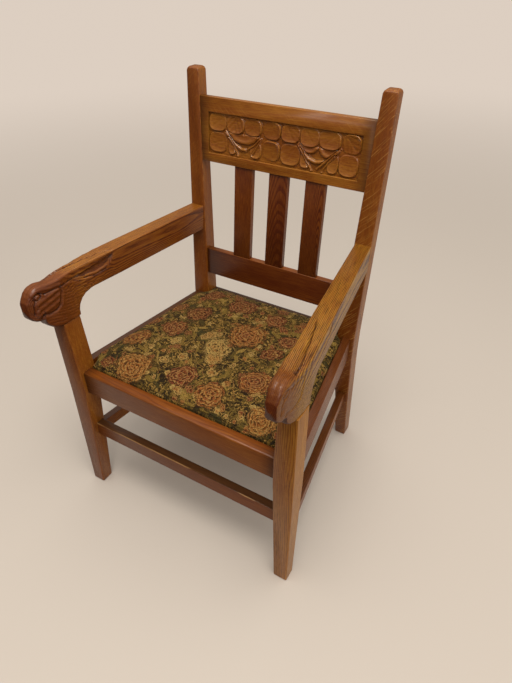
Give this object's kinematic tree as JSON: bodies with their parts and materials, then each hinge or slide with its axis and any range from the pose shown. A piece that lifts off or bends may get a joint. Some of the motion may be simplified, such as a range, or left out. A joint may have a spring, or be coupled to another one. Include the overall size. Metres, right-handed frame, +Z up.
{
  "type": "open armchair",
  "caption": "Open oak armchair with a raked slatted back, carved crest panel, arms ending in eagle heads and a tapestry drop-in seat that lifts out.",
  "frame": {"origin": "on the floor, in the middle of the chair's width and length", "axes": "+X to the right and +Y to the back as seen from the front, +Z up"},
  "size_m": [0.662, 0.654, 1.058],
  "materials": {
    "oak": "stained and waxed, satin",
    "block_wood": "bare, sawn",
    "seat_beech": "bare, planed",
    "webbing": "woven jute",
    "hessian": "coarse woven jute",
    "stuffing": "hair and wadding",
    "tapestry": "woven floral tapestry"
  },
  "bodies": {
    "chair_frame": {"front_post_left": "oak", "front_post_right": "oak", "back_post_left": "oak", "back_post_right": "oak", "front_seat_rail": "oak", "rear_seat_rail": "oak", "side_seat_rail_left": "oak", "side_seat_rail_right": "oak", "front_stretcher": "oak", "rear_stretcher": "oak", "side_stretcher_left": "oak", "side_stretcher_right": "oak", "crest_panel": "oak", "lower_back_rail": "oak", "slat_left": "oak", "slat_centre": "oak", "slat_right": "oak", "arm_left": "oak", "arm_right": "oak", "corner_block_front_left": "block_wood", "corner_block_front_right": "block_wood", "corner_block_rear_left": "block_wood", "corner_block_rear_right": "block_wood"},
    "drop_in_seat": {"seat_frame_front": "seat_beech", "seat_frame_rear": "seat_beech", "seat_frame_left": "seat_beech", "seat_frame_right": "seat_beech", "seat_webbing_lengthways": "webbing", "seat_webbing_crossways": "webbing", "seat_hessian": "hessian", "seat_stuffing": "stuffing", "seat_cover": "tapestry"}
  },
  "joints": [
    {"name": "seat_lift", "type": "slide", "parent": "chair_frame", "child": "drop_in_seat", "axis": [0, 0, 1], "range_m": [0, 0.045]}
  ]
}
